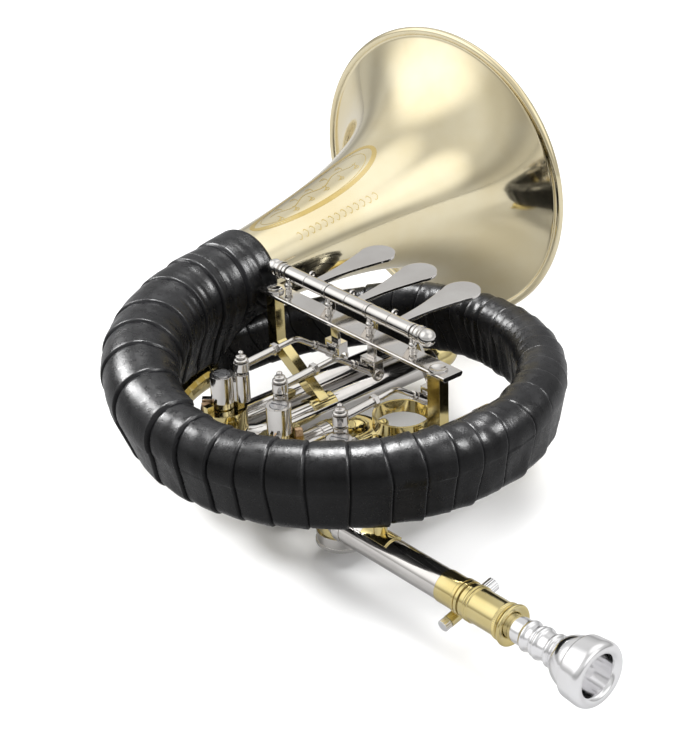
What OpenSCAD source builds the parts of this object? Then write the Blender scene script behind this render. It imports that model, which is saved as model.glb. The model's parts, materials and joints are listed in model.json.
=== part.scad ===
// Valved hunting horn (Pless form): a leather-wrapped double coil, a flared bell,
// three rotary valves worked by finger levers, and a clamped mouthpiece shank.
// All sizes in millimetres, +Z up. The origin is the middle of the bounding box's bottom face.

/* [Bell] */
// Outside radius of the bell mouth, without the rolled rim
rim_radius = 76; // [70:0.5:80]
// Outside radius of the bell where it joins the coil
tail_radius = 16.5; // [15:0.25:17.5]
// Length of the bell from the coil to the rim
bell_length = 173; // [165:1:180]
// How sharply the bell opens (a larger value opens later)
bell_flare = 0.72; // [0.65:0.01:0.85]
// Wall thickness of the bell and tubes
wall = 0.8; // [0.6:0.05:1]
// Radius of the rolled rim
bead_radius = 2.1; // [1.8:0.1:2.4]
// Angle by which the bell leans out from the lever direction
bell_lean = 7; // [5:0.5:8]
// Angle by which the bell rises
bell_rise = 1.5; // [0.5:0.5:2]

/* [Coil] */
// Radius of the coil's centre line
coil_radius = 87; // [85:0.5:89]
// Outside radius of the narrow end of the coil tube
coil_tube_radius = 5.8; // [5.5:0.1:6]
// Thickness of the leather
leather = 2.1; // [1.2:0.1:2.3]
// Length of bell tail under the leather
leather_reach = 38; // [30:1:40]

/* [Valves] */
// Distance between neighbouring valves
valve_pitch = 40; // [38:0.5:42]
// Place of the middle valve, across the levers
row_x = -2; // [-4:0.5:0]
// Place of the valve row, along the levers
row_y = -34; // [-36:0.5:-32]
// Height of the tubes that join the valves
air_z = -30; // [-32:0.5:-29]
// Radius of a rotor
rotor_radius = 8.75; // [8.5:0.05:8.9]
// Running clearance of a rotor and of every pin, on the radius
fit = 0.05; // [0.03:0.01:0.06]
// Outside radius of a valve casing
casing_radius = 10.5; // [10:0.1:11]
// Outside radius of a valve tube
pipe_radius = 6.25; // [6:0.05:6.5]
// Radius of the centre line of a tube elbow at a valve
elbow_radius = 8; // [7.5:0.5:9]
// Distance from a rotor's axis to its ball post
crank_radius = 9; // [8.8:0.1:9.2]

/* [Valve slides] */
// Place where the straight legs of the first slide end, along the levers
slide_end_1 = 82; // [78:1:84]
// Place where the straight legs of the second slide end
slide_end_2 = 0; // [-2:0.5:1]
// Place where the straight legs of the third slide end
slide_end_3 = 62; // [58:1:66]
// How far the first slide's inner legs reach into the outer ones
slide_overlap_1 = 70; // [60:1:74]
// How far the second slide's inner legs reach into the outer ones
slide_overlap_2 = 14; // [12:0.5:15]
// How far the third slide's inner legs reach into the outer ones
slide_overlap_3 = 55; // [48:1:58]

/* [Levers] */
// Height of the lever axle
axle_z = 30; // [28:0.5:32]
// Place of the lever axle
axle_y = 17.5; // [16:0.5:19]
// Distance between neighbouring levers
lever_pitch = 27.9; // [27:0.1:29]
// Place of the first lever
first_lever_x = -35.6; // [-37:0.1:-34]
// Length of a lever from the axle to its tip
lever_reach = 44.5; // [42:0.5:47]
// Radius of a lever's round end
paddle_radius = 8.5; // [7:0.5:9]
// Depth of a lever's drive arm below the axle
arm_drop = 36.5; // [35:0.5:38]
// Distance of the drive arm behind the axle
arm_back = 8.5; // [8:0.25:9]
// Radius of the axle
axle_radius = 1.5; // [1.3:0.1:1.7]
// Outside radius of the barrels on the axle
barrel_radius = 3.3; // [3:0.1:3.5]

/* [Mouthpiece and leadpipe] */
// Place of the mouthpiece rim along the leadpipe
rim_x = 194; // [190:1:198]
// Outside radius of the mouthpiece rim
mouthpiece_radius = 13.5; // [12.5:0.25:14]
// Length of the mouthpiece
mouthpiece_length = 68; // [64:1:72]
// Outside radius of the leadpipe
leadpipe_radius = 6.7; // [6.5:0.05:6.9]

/* [Hidden] */
$fn = 64;
brass = [0.86, 0.70, 0.33];
nickel = [0.78, 0.76, 0.73];
silver = [0.92, 0.92, 0.93];
black_leather = [0.07, 0.07, 0.08];
cork = [0.72, 0.55, 0.36];
steel = [0.70, 0.70, 0.72];

valves = [0, 1, 2];
valve_x = [for (i = valves) row_x + (i - 1) * valve_pitch];
// +1 where the crank turns counter-clockwise as its lever is pressed
crank_turn = [-1, 1, 1];
// A ball post moves 45 degrees to each side of straight sideways
ball_x = [for (i = valves) valve_x[i] - crank_turn[i] * crank_radius * sin(45)];
ball_y = row_y + crank_radius * sin(45);
ball_mean_x = [for (i = valves) valve_x[i] - crank_turn[i] * crank_radius * (1 + sin(45)) / 2];
lever_x = [for (i = valves) first_lever_x + i * lever_pitch];
pivot_y = axle_y + arm_back;
pivot_z = axle_z - arm_drop;

slide_end = [slide_end_1, slide_end_2, slide_end_3];
slide_overlap = [slide_overlap_1, slide_overlap_2, slide_overlap_3];
bore_radius = rotor_radius + fit;
pipe_bore = pipe_radius - wall;
slide_fit = 0.06;
port = casing_radius * sin(45);
leg_x = port + elbow_radius * (1 - cos(45));
leg_y = port + elbow_radius * sin(45);
lead_y = row_y - port - elbow_radius * (1 - cos(45));
lead_start_x = valve_x[2] + port + elbow_radius * sin(45);
casing_half = 13;
hub_top = 2;
ball_top = 8.3;

clamp_x = 112.6;
shank_x = 126;
collar_x = 142;
flange_x = 147;
flange_end = 150;

coil_start = 180 + bell_lean;
turn_length = 2 * PI * coil_radius;
// Height of the tube's centre line, against turns from the bell
tube_heights = [[0, 18.7], [0.12, 13.9], [0.25, 7.5], [0.4, 7], [0.6, 7.2], [0.8, 1.5], [0.9, -7],
    [1, -9.4], [1.12, -8.2], [1.25, -9.5], [1.6, -9.4], [1.8, -12.9], [1.9, -19.4], [2, -23.8]];
// Outside radius of the tube, against turns from the bell
tube_radii = [[0, tail_radius], [0.12, 14.5], [0.25, 10.6], [0.4, 9.8], [0.6, 8.2], [0.8, 6.6],
    [1, coil_tube_radius], [2, coil_tube_radius]];
wrap_gap = 0.9;
// The leather is thinner where the bell and the end of the coil lie close together
thin_leather = 0.9;
thin_start = 0.83;
thin_end = 0.89;
wrap_end = 0.994;

flare_ratio = pow(tail_radius / rim_radius, 1 / bell_flare);
flare_offset = bell_length * flare_ratio / (1 - flare_ratio);

plate_front = 9.5;
plate_back = 20.5;
plate_bottom = 18;
plate_top = 20.3;
plate_left = -68;
plate_right = 55;
left_post_x = -61.5;
right_post_x = valve_x[2] + leg_x;
post_y = 13;
screw_y = 13.4;
ring_x = 22.5;
ring_y = 15;
ring_bore = 12;
ring_top = -11;
ring_height = 6;

// The box that holds the whole horn, and from it the origin
mouth = [-coil_radius * cos(bell_lean) - bell_length * sin(bell_lean) * cos(bell_rise),
    -coil_radius * sin(bell_lean) + bell_length * cos(bell_lean) * cos(bell_rise),
    tube_heights[0][1] + bell_length * sin(bell_rise)];
box_left = mouth[0] - rim_radius * cos(bell_lean) - bead_radius;
box_right = rim_x;
box_front = -coil_radius - smooth_lookup(tube_radii, (270 - coil_start) / 360) - wrap_gap - leather;
box_back = mouth[1] + rim_radius * sin(bell_lean) + bead_radius;
box_bottom = mouth[2] - rim_radius - bead_radius;
origin = [(box_left + box_right) / 2, (box_front + box_back) / 2, box_bottom];

// ---- curves -------------------------------------------------------------------------

function table_slope(t, i) =
    let (a = max(i - 1, 0), b = min(i + 1, len(t) - 1))
    (t[b][1] - t[a][1]) / (t[b][0] - t[a][0]);

function table_span(t, x, i = 0) =
    (i >= len(t) - 2 || x < t[i + 1][0]) ? i : table_span(t, x, i + 1);

// A smooth curve through the pairs of a table
function smooth_lookup(t, x) =
    let (i = table_span(t, x), h = t[i + 1][0] - t[i][0], u = (x - t[i][0]) / h)
    (2 * u * u * u - 3 * u * u + 1) * t[i][1] + (u * u * u - 2 * u * u + u) * h * table_slope(t, i)
    + (3 * u * u - 2 * u * u * u) * t[i + 1][1] + (u * u * u - u * u) * h * table_slope(t, i + 1);

// Outside radius of the bell at a distance from the rim
function bell_radius(d) = rim_radius * pow(flare_offset / (d + flare_offset), bell_flare);
function bell_slope(d) = bell_flare * bell_radius(d) / (d + flare_offset);

// Height and radius of the tube; a negative number of turns lies along the bell
function tube_z(turns) = turns < 0
    ? tube_heights[0][1] - turns * turn_length * sin(bell_rise)
    : smooth_lookup(tube_heights, turns);
function tube_r(turns) = turns < 0
    ? bell_radius(bell_length + turns * turn_length)
    : smooth_lookup(tube_radii, turns);
function coil_angle(turns) = coil_start + 360 * max(turns, 0);
function coil_side(turns) = [cos(coil_angle(turns)), sin(coil_angle(turns)), 0];
function coil_base(turns) = coil_radius * coil_side(turns)
    + min(turns, 0) * turn_length * [sin(bell_lean), -cos(bell_lean), 0];

// One ring of points round the path; section holds sideways and upward distances
function coil_ring(turns, section) =
    [for (p = section) coil_base(turns) + p[0] * coil_side(turns) + [0, 0, p[1]]];

function circle_section(r, z, sides) =
    [for (k = [0:sides - 1]) [r * cos(360 * k / sides), z + r * sin(360 * k / sides)]];

// The outline of a strap drawn tight round two circles, one above the other
function strap_section(r_top, z_top, r_low, z_low, sides) =
    let (lean = asin((r_top - r_low) / (z_top - z_low)), half = sides / 2)
    concat(
        [for (k = [0:half - 1]) let (a = -lean + (180 + 2 * lean) * k / (half - 1))
            [r_top * cos(a), z_top + r_top * sin(a)]],
        [for (k = [0:half - 1]) let (a = 180 + lean + (180 - 2 * lean) * k / (half - 1))
            [r_low * cos(a), z_low + r_low * sin(a)]]);

// Thickness of the leather, against turns from the bell
function leather_at(turns) = turns < 0 ? thin_leather
    : leather - (leather - thin_leather) * min(max((turns - thin_start) / (thin_end - thin_start), 0), 1);

// A ring drawn tight round both turns of the coil, a gap away from them
function strap_ring(turns, gap, sides) = coil_ring(turns, strap_section(tube_r(turns) + gap,
    tube_z(turns), tube_r(turns + 1) + gap, tube_z(turns + 1), sides));

// The outlet tube's centre line, a curve from the first valve up to the narrow end of the coil
outlet_gap = 0.4;
outlet_start = [valve_x[0] - port - outlet_gap, row_y - port - outlet_gap, air_z];
outlet_end = coil_radius * coil_side(2) + [0, 0, tube_z(2)]
    + outlet_gap * [sin(bell_lean), -cos(bell_lean), 0];
outlet_pull_start = outlet_start + 26 * [-sin(45), -sin(45), 0];
outlet_pull_end = outlet_end - 24 * [-sin(bell_lean), cos(bell_lean), 0.07];
function outlet_spot(u) = pow(1 - u, 3) * outlet_start + 3 * u * pow(1 - u, 2) * outlet_pull_start
    + 3 * u * u * (1 - u) * outlet_pull_end + pow(u, 3) * outlet_end;
function outlet_heading(u) =
    let (h = outlet_spot(min(u + 0.01, 1)) - outlet_spot(max(u - 0.01, 0)))
    h / norm(h);
function outlet_ring(u, r, sides) =
    let (across = cross(outlet_heading(u), [0, 0, 1]), side = across / norm(across),
        up = cross(side, outlet_heading(u)))
    [for (k = [0:sides - 1])
        outlet_spot(u) + r * cos(360 * k / sides) * side + r * sin(360 * k / sides) * up];

// ---- swept solids -------------------------------------------------------------------

function ring_faces(sides, rings, first, inward) =
    [for (i = [0:rings - 2], k = [0:sides - 1])
        let (a = first + i * sides + k, b = first + i * sides + (k + 1) % sides)
        each inward ? [[a, b, b + sides], [a, b + sides, a + sides]]
            : [[b + sides, b, a], [a + sides, b + sides, a]]];

// A tube between an outer and an inner list of rings
module swept_tube(outer, inner) {
    sides = len(outer[0]);
    rings = len(outer);
    count = sides * rings;
    last = count - sides;
    ends = [for (k = [0:sides - 1]) let (n = (k + 1) % sides)
        each [[k, n, count + n, count + k],
            [last + n, last + k, count + last + k, count + last + n]]];
    polyhedron(
        points = concat([for (r = outer) each r], [for (r = inner) each r]),
        faces = concat(ring_faces(sides, rings, 0, false), ring_faces(sides, rings, count, true), ends),
        convexity = 8);
}

// ---- shared shapes ------------------------------------------------------------------

// Moves the horn so that the origin is at the middle of its base
module place() { translate(-origin) children(); }

// Turns a shape drawn along +Z to run along +X or +Y
module along_x() { rotate([0, 90, 0]) children(); }
module along_y() { rotate([-90, 0, 0]) children(); }

module pipe(r_out, r_in, length) {
    difference() {
        cylinder(r = r_out, h = length);
        translate([0, 0, -1]) cylinder(r = r_in, h = length + 2);
    }
}

// A level elbow round the origin, from one angle to another
module elbow(radius, r_out, r_in, from, to) {
    rotate([0, 0, from]) rotate_extrude(angle = to - from) translate([radius, 0]) difference() {
        circle(r = r_out);
        circle(r = r_in);
    }
}

// A disc whose edge is cut into fine ridges
module knurled_disc(r, h, ridges) {
    linear_extrude(height = h)
        polygon([for (k = [0:2 * ridges - 1]) let (a = 180 * k / ridges, q = r - 0.25 * (k % 2))
            [q * cos(a), q * sin(a)]]);
}

// A plate curved to sit on a tube that runs along +X
module saddle(tube_r, length, thickness, spread) {
    along_x() rotate([0, 0, 180 - spread / 2]) rotate_extrude_sector(tube_r, length, thickness, spread);
}

module rotate_extrude_sector(tube_r, length, thickness, spread) {
    rotate_extrude(angle = spread) translate([tube_r, -length / 2]) square([thickness, length]);
}

module at_valve(i) { translate([valve_x[i], row_y, air_z]) children(); }

// ---- bell and coil ------------------------------------------------------------------

module on_bell_axis() {
    translate([-coil_radius * cos(bell_lean), -coil_radius * sin(bell_lean), tube_heights[0][1]])
        rotate([0, 0, bell_lean]) rotate([-90 + bell_rise, 0, 0]) children();
}

module bell() color(brass) place() on_bell_axis() {
    steps = 22;
    places = [for (k = [0:steps]) bell_length * pow(k / steps, 1.7)];
    outside = [for (d = places) [bell_radius(d), bell_length - d]];
    inside = [for (k = [steps:-1:0]) let (d = places[k], n = sqrt(1 + pow(bell_slope(d), 2)))
        [bell_radius(d) - wall / n, bell_length - d + wall * bell_slope(d) / n * (k == steps ? 0 : 1)]];
    difference() {
        union() {
            rotate_extrude() polygon(concat(outside, inside));
            rotate_extrude() translate([rim_radius, bell_length]) circle(r = bead_radius, $fn = 32);
        }
        rotate_extrude() translate([rim_radius, bell_length]) circle(r = bead_radius - wall, $fn = 32);
    }
}

module bell_rim_wire() color(steel) place() on_bell_axis() {
    rotate_extrude() translate([rim_radius, bell_length]) circle(r = bead_radius - wall - fit, $fn = 32);
}

module bell_ferrule() color(brass) place() on_bell_axis() {
    back = 3;
    front = 8;
    tail_end = bell_radius(bell_length - front);
    rotate_extrude() polygon([[tail_radius + 0.05, -back], [tail_radius + 0.45, -back],
        [tail_end + 0.45, front], [tail_end + 0.05, front], [tail_radius + 0.05, 0]]);
}

module coil_tube() color(brass) place() {
    sides = 14;
    turns = [for (k = [0:48]) 0.001 + 1.999 * k / 48];
    swept_tube([for (t = turns) coil_ring(t, circle_section(tube_r(t), tube_z(t), sides))],
        [for (t = turns) coil_ring(t, circle_section(tube_r(t) - wall, tube_z(t), sides))]);
}

module bell_leather() color(black_leather) place() {
    sides = 20;
    first = -leather_reach / turn_length;
    turns = [for (k = [0:6]) first - (first + 0.002) * k / 6];
    swept_tube(
        [for (t = turns) coil_ring(t, circle_section(tube_r(t) + wrap_gap + leather_at(t), tube_z(t), sides))],
        [for (t = turns) coil_ring(t, circle_section(tube_r(t) + wrap_gap, tube_z(t), sides))]);
}

module coil_leather() color(black_leather) place() {
    sides = 20;
    turns = [for (k = [0:34]) wrap_end * k / 34];
    swept_tube([for (t = turns) strap_ring(t, wrap_gap + leather_at(t), sides)],
        [for (t = turns) strap_ring(t, wrap_gap, sides)]);
}

// The tube from the first valve up to the narrow end of the coil
module outlet_tube() color(brass) place() {
    sides = 14;
    steps = [for (k = [0:12]) k / 12];
    swept_tube([for (u = steps) outlet_ring(u, coil_tube_radius, sides)],
        [for (u = steps) outlet_ring(u, coil_tube_radius - wall, sides)]);
}

// ---- valves -------------------------------------------------------------------------

module valve_casing(i) color(brass) place() at_valve(i) {
    floor_top = -10.2;
    difference() {
        translate([0, 0, -casing_half]) cylinder(r = casing_radius, h = 2 * casing_half);
        translate([0, 0, floor_top]) cylinder(r = bore_radius, h = 2 * casing_half);
        translate([0, 0, -casing_half - 1]) cylinder(r = 3 + fit, h = casing_half);
        for (a = [45, 135, 225, 315]) rotate([0, 0, a]) along_x() cylinder(r = pipe_bore, h = casing_radius + 1);
    }
}

module valve_bearing(i) color(brass) place() at_valve(i) {
    flange = 13;
    top = 15.5;
    post_angle = 90;
    difference() {
        union() {
            translate([0, 0, 10.2]) cylinder(r = rotor_radius - 0.05, h = flange - 10.2);
            translate([0, 0, flange]) cylinder(r = casing_radius, h = top - flange);
            for (side = [-1, 1])
                rotate([0, 0, (crank_turn[i] > 0 ? 0 : 180) + side * post_angle])
                    translate([6.6, -1.5, flange]) cube([3.6, 3, 6]);
        }
        translate([0, 0, 9]) cylinder(r = 3.2 + fit, h = 10);
    }
}

module bottom_cap(i) color(nickel) place() at_valve(i) {
    difference() {
        union() {
            translate([0, 0, -17.2]) knurled_disc(11.6, 1.6, 60);
            translate([0, 0, -15.8]) cylinder(r = 11.2, h = 4.8);
        }
        translate([0, 0, -15.2]) cylinder(r = casing_radius + 0.05, h = 5);
    }
}

module stop_corks() color(cork) place() {
    for (i = valves, side = [-1, 1])
        at_valve(i) rotate([0, 0, (crank_turn[i] > 0 ? 0 : 180) + side * 66])
            translate([6.8, -1.1, 15.6]) cube([3.2, 2.2, 3.2]);
}

// The bend that joins two neighbouring valves
module valve_link(i) color(brass) place() {
    reach = valve_pitch / 2 * sqrt(2) - casing_radius;
    translate([valve_x[i] + valve_pitch / 2, row_y - valve_pitch / 2 + reach * sqrt(2), air_z])
        elbow(reach, pipe_radius, pipe_bore, 225, 315);
}

module slide_sleeve(i) color(nickel) place() {
    bore = pipe_radius - wall;
    collar = 5;
    for (side = [-1, 1]) at_valve(i) {
        difference() {
            translate([side * (leg_x - elbow_radius), leg_y, 0])
                elbow(elbow_radius, pipe_radius, bore, side > 0 ? 0 : 180, side > 0 ? -45 : 225);
            cylinder(r = casing_radius, h = 40, center = true);
        }
        translate([side * leg_x, leg_y, 0]) along_y() {
            pipe(pipe_radius, bore, slide_end[i] - row_y - leg_y);
            translate([0, 0, slide_end[i] - row_y - leg_y - collar]) pipe(pipe_radius + 0.5, pipe_radius, collar);
        }
    }
}

module valve_slide(i) color(brass) place() {
    tube = pipe_radius - wall - slide_fit;
    bore = tube - wall;
    crook_radius = pipe_radius;
    neck = 6;
    end_y = slide_end[i] - row_y;
    for (side = [-1, 1]) at_valve(i) translate([side * leg_x, end_y, 0]) along_y() {
        translate([0, 0, -slide_overlap[i]]) pipe(tube, bore, slide_overlap[i] + 0.4);
        translate([0, 0, 0.4]) pipe(crook_radius + 0.5, bore, 2);
        translate([0, 0, 2.4]) pipe(crook_radius, bore, neck - 2.4);
    }
    at_valve(i) translate([0, end_y + neck, 0]) {
        elbow(leg_x, crook_radius, bore, 0, 180);
        translate([0, leg_x + crook_radius - 0.4, 0]) along_y() cylinder(r = 2.6, h = 2.4);
        translate([0, leg_x + crook_radius + 3.4, 0]) sphere(r = 2.4);
    }
}

module rotor(i) color(brass) place() at_valve(i) {
    half = 9.9;
    passage = 3.3;
    tall = 1.9;
    difference() {
        union() {
            translate([0, 0, -half]) cylinder(r = rotor_radius, h = 2 * half);
            translate([0, 0, -12.9]) cylinder(r = 3, h = 12.9 - half + 0.1);
            translate([0, 0, half - 0.1]) cylinder(r = 3.2, h = 9.2);
            translate([0, 0, half + 9]) cylinder(r = 2.6, h = 8);
        }
        for (side = [0, 180])
            rotate([0, 0, side]) translate([0, -rotor_radius * sqrt(2), 0])
                rotate([0, 0, 40]) rotate_extrude(angle = 100) translate([rotor_radius, 0]) {
                    translate([0, tall]) circle(r = passage);
                    translate([0, -tall]) circle(r = passage);
                    square([2 * passage, 2 * tall], center = true);
                }
    }
}

module crank(i) color(nickel) place() {
    hub_bottom = 19.1;
    hub_height = hub_top - air_z - hub_bottom;
    arm_angle = crank_turn[i] > 0 ? 135 : 45;
    difference() {
        at_valve(i) {
            translate([0, 0, hub_bottom]) cylinder(r = 5.5, h = hub_height);
            rotate([0, 0, arm_angle]) {
                translate([0, -2, hub_bottom]) cube([crank_radius, 4, hub_height - 3]);
                translate([crank_radius, 0, hub_bottom]) cylinder(r = 3.3, h = hub_height + 0.5);
                translate([crank_radius, 0, hub_bottom + hub_height]) cylinder(r1 = 2.4, r2 = 1.9, h = 2);
                translate([crank_radius, 0, hub_bottom]) cylinder(r = 1.3, h = hub_height + 6.2);
            }
            rotate([0, 0, arm_angle + 180]) translate([3.4, -1.4, 16]) cube([6.2, 2.8, hub_bottom - 16 + 1]);
            translate([0, 0, 16]) cylinder(r = 4.4, h = hub_bottom - 16 + 0.5);
        }
        at_valve(i) {
            translate([0, 0, 15]) cylinder(r = 3.2 + 0.02, h = 4.1);
            translate([0, 0, 15]) cylinder(r = 2.62, h = 13);
            translate([0, 0, 26]) cylinder(r = 1.6, h = 9);
            translate([0, 0, hub_top - air_z - 1.2]) cylinder(r = 3.9, h = 2);
        }
    }
}

// The slotted screw in the hub, and the slotted cap on the ball post
module crank_screws(i) color(steel) place() at_valve(i) {
    top = hub_top - air_z;
    arm_angle = crank_turn[i] > 0 ? 135 : 45;
    difference() {
        union() {
            translate([0, 0, top - 1.1]) cylinder(r = 3.8, h = 1.5);
            translate([0, 0, 27.2]) cylinder(r = 1.5, h = top - 28.2);
        }
        rotate([0, 0, 25]) translate([-4, -0.4, top - 0.4]) cube([8, 0.8, 2]);
    }
    rotate([0, 0, arm_angle]) translate([crank_radius, 0, 0]) difference() {
        translate([0, 0, ball_top - air_z + 0.1]) cylinder(r1 = 2.3, r2 = 1.6, h = 1.5);
        translate([-3, -0.3, ball_top - air_z + 1]) cube([6, 0.6, 2]);
    }
}

// ---- linkage ------------------------------------------------------------------------

// A bent rod from the ball post to the fork of the lever's drive arm, drawn from the ball post
module rod(i) color(nickel) place() {
    eye_z = 6.2;
    bend = [4 - ball_y, 2.4];
    end = [pivot_y - ball_y, pivot_z - eye_z];
    rise = atan2(bend[1], bend[0]);
    fall = atan2(end[1] - bend[1], end[0] - bend[0]);
    turn = rise - fall;
    turn_radius = 9;
    cut = turn_radius * tan(turn / 2);
    thin = 1.3;
    first = norm(bend) - cut;
    second = norm(end - bend) - cut;
    sleeve = 13.5;
    translate([ball_x[i], ball_y, eye_z]) difference() {
        union() {
            translate([0, 0, -2]) cylinder(r = 3.5, h = 4);
            rotate([rise, 0, 0]) {
                along_y() translate([0, 0, 2.8]) cylinder(r = 1.9, h = 16.2);
                translate([0, 18, 0]) along_y() cylinder(r = 2.9, h = 2.2, $fn = 6);
                along_y() translate([0, 0, 18]) cylinder(r = thin, h = first - 18);
                translate([0, first, -turn_radius]) rotate([90, 0, 90])
                    rotate([0, 0, 88 - turn]) rotate_extrude(angle = turn + 4)
                        translate([turn_radius, 0]) circle(r = thin + 0.05);
            }
            translate([0, end[0], end[1]]) rotate([180 + fall, 0, 0]) along_y() {
                cylinder(r = 2.1, h = sleeve);
                translate([0, 0, sleeve - 1]) cylinder(r = thin, h = second - sleeve + 1);
                translate([0, 0, sleeve + 0.7]) cylinder(r = 1.9, h = 1.6);
            }
            translate([-2.25, end[0], end[1]]) along_x() cylinder(r = 2.4, h = 4.5);
            translate([ball_mean_x[i] - ball_x[i], end[0], end[1]]) along_x() cylinder(r = 1, h = 12.4, center = true);
        }
        cylinder(r = 1.3 + fit, h = 8, center = true);
    }
}

// ---- levers -------------------------------------------------------------------------

module paddle_outline(length, tip_r, root) {
    steps = 10;
    centre = length - tip_r;
    function half_width(u) = root + (tip_r * 0.985 - root) * (0.35 * u + 0.65 * u * u * (3 - 2 * u) * u);
    side = [for (k = [0:steps]) [half_width(k / steps), centre * k / steps]];
    polygon(concat(side, [for (k = [steps:-1:0]) [-side[k][0], side[k][1]]]));
    translate([0, centre]) circle(r = tip_r);
}

module lever(i) color(nickel) place() translate([lever_x[i], axle_y, axle_z]) {
    half = 6.2;
    jog = ball_mean_x[i] - lever_x[i];
    strip = 1.5;
    fork_in = 3.75;
    fork_out = 4.85;
    bridge_z = -arm_drop + 7;
    tilt = 3.2;
    difference() {
        union() {
            translate([-half, 0, 0]) along_x() cylinder(r = barrel_radius, h = 2 * half);
            rotate([tilt, 0, 0]) translate([0, 1.6, 1.6]) {
                linear_extrude(height = 1.3) paddle_outline(lever_reach - 1.6, paddle_radius, 2.2);
                translate([-1.7, 0, -1.1]) cube([3.4, 0.55 * lever_reach, 1.1]);
            }
            // strap behind the barrel, then the arm down to its fork
            translate([-2.5, 0, 0]) rotate([90, 0, 90]) linear_extrude(height = 5)
                polygon([[2, 0.6], [2, -2], [arm_back - strip / 2, -7.5], [arm_back - strip / 2, -11],
                    [arm_back + strip / 2, -11], [arm_back + strip / 2, -6.8]]);
            translate([0, arm_back + strip / 2, 0]) rotate([90, 0, 0]) linear_extrude(height = strip)
                polygon([[-2.5, -10], [jog - 2.4, bridge_z], [jog + 2.4, bridge_z], [2.5, -10]]);
            translate([jog - fork_out, arm_back - 2.6, bridge_z - 1.4]) cube([2 * fork_out, 5.2, 1.6]);
            for (side = [-1, 1]) {
                x = jog + side * (fork_in + fork_out) / 2 - (fork_out - fork_in) / 2;
                translate([x, arm_back - 2.6, -arm_drop]) cube([fork_out - fork_in, 5.2, 6]);
                translate([x, arm_back, -arm_drop]) along_x() cylinder(r = 3.1, h = fork_out - fork_in);
            }
        }
        translate([-half - 1, 0, 0]) along_x() cylinder(r = axle_radius + fit, h = 2 * half + 2);
        translate([jog - 8, arm_back, -arm_drop]) along_x() cylinder(r = 2.3, h = 16);
    }
}

module lever_axle() color(steel) place() {
    translate([lever_x[0] - 23, axle_y, axle_z]) along_x() cylinder(r = axle_radius, h = 2 * lever_pitch + 33);
}

module axle_finials() color(nickel) place() {
    ends = [[lever_x[0] - 22.6, -1], [lever_x[2] + 9, 1]];
    for (e = ends) translate([e[0], axle_y, axle_z]) mirror([e[1] < 0 ? 1 : 0, 0, 0]) difference() {
        union() {
            along_x() cylinder(r = 3.6, h = 1.4);
            translate([1.4, 0, 0]) along_x() cylinder(r = 2.9, h = 1.2);
            translate([2.4, 0, 0]) along_x() cylinder(r = 4, h = 1.6);
            translate([7.2, 0, 0]) sphere(r = 4);
            translate([4, 0, 0]) along_x() cylinder(r = 3.4, h = 2.4);
        }
        translate([-1, 0, 0]) along_x() cylinder(r = axle_radius + 0.02, h = 3.2);
    }
}

// The posts stand on the plate and carry the axle beside each moving barrel
module hinge_posts() color(nickel) place() {
    spots = concat([lever_x[0] - 21.3], [for (i = valves) lever_x[i] + 7.2]);
    foot = axle_z - plate_top;
    for (x = spots) translate([x, axle_y, axle_z]) difference() {
        union() {
            translate([-0.8, 0, 0]) along_x() cylinder(r = 3.5, h = 1.6);
            translate([0, 0, -foot]) cylinder(r = 1.2, h = foot - barrel_radius);
            translate([0, 0, -foot]) cylinder(r = 1.6, h = 1.2);
            translate([0, 0, -foot + 3]) sphere(r = 1.9);
        }
        translate([-3, 0, 0]) along_x() cylinder(r = axle_radius + 0.02, h = 6);
    }
}

module spring_barrels() color(nickel) place() {
    length = 13;
    cap = 1.2;
    for (i = valves) translate([lever_x[i] - 6.5 - length, axle_y, axle_z]) {
        difference() {
            along_x() cylinder(r = barrel_radius, h = length);
            translate([-1, 0, 0]) along_x() cylinder(r = axle_radius + 0.02, h = length + 2);
            translate([cap, 0, 0]) along_x() cylinder(r = 2.7, h = length - 2 * cap);
        }
        // small eye that holds the end of the spring
        translate([length - 3, barrel_radius + 1.2, 1.4]) along_x() pipe(1.7, 0.8, 1.2);
    }
}

module lever_springs() color(steel) place() {
    wire = 0.42;
    coils = 9;
    for (i = valves, k = [0:coils - 1])
        translate([lever_x[i] - 6.5 - 11.2 + k * 1.15, axle_y, axle_z]) along_x()
            rotate_extrude() translate([2.15, 0]) circle(r = wire, $fn = 16);
}

// ---- lever bridge -------------------------------------------------------------------

module bridge_plate() color(nickel) place() {
    bevel = 0.9;
    length = plate_right - plate_left;
    difference() {
        translate([plate_left, 0, 0]) rotate([90, 0, 90]) linear_extrude(height = length)
            polygon([[plate_front + bevel, plate_bottom], [plate_front, plate_bottom + bevel],
                [plate_front, plate_top - 0.4], [plate_front + 0.4, plate_top],
                [plate_back - 0.4, plate_top], [plate_back, plate_top - 0.4],
                [plate_back, plate_bottom + bevel], [plate_back - bevel, plate_bottom]]);
        for (x = [left_post_x, right_post_x])
            translate([x, screw_y, plate_bottom - 1]) cylinder(r = 2, h = 5);
    }
}

module plate_screws() color(nickel) place() {
    for (x = [left_post_x, right_post_x])
        translate([x, screw_y, plate_top]) difference() {
            union() {
                cylinder(r1 = 4.3, r2 = 4, h = 1.1);
                translate([0, 0, plate_bottom - plate_top - 5]) cylinder(r = 1.9, h = 6);
            }
            translate([0, 0, 8]) sphere(r = 7.7);
            rotate([0, 0, 35]) translate([-5, -0.45, 0.5]) cube([10, 0.9, 2]);
        }
}

module post_socket(x) {
    translate([x, screw_y, plate_bottom - 6]) cylinder(r = 1.95, h = 7);
}

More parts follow.
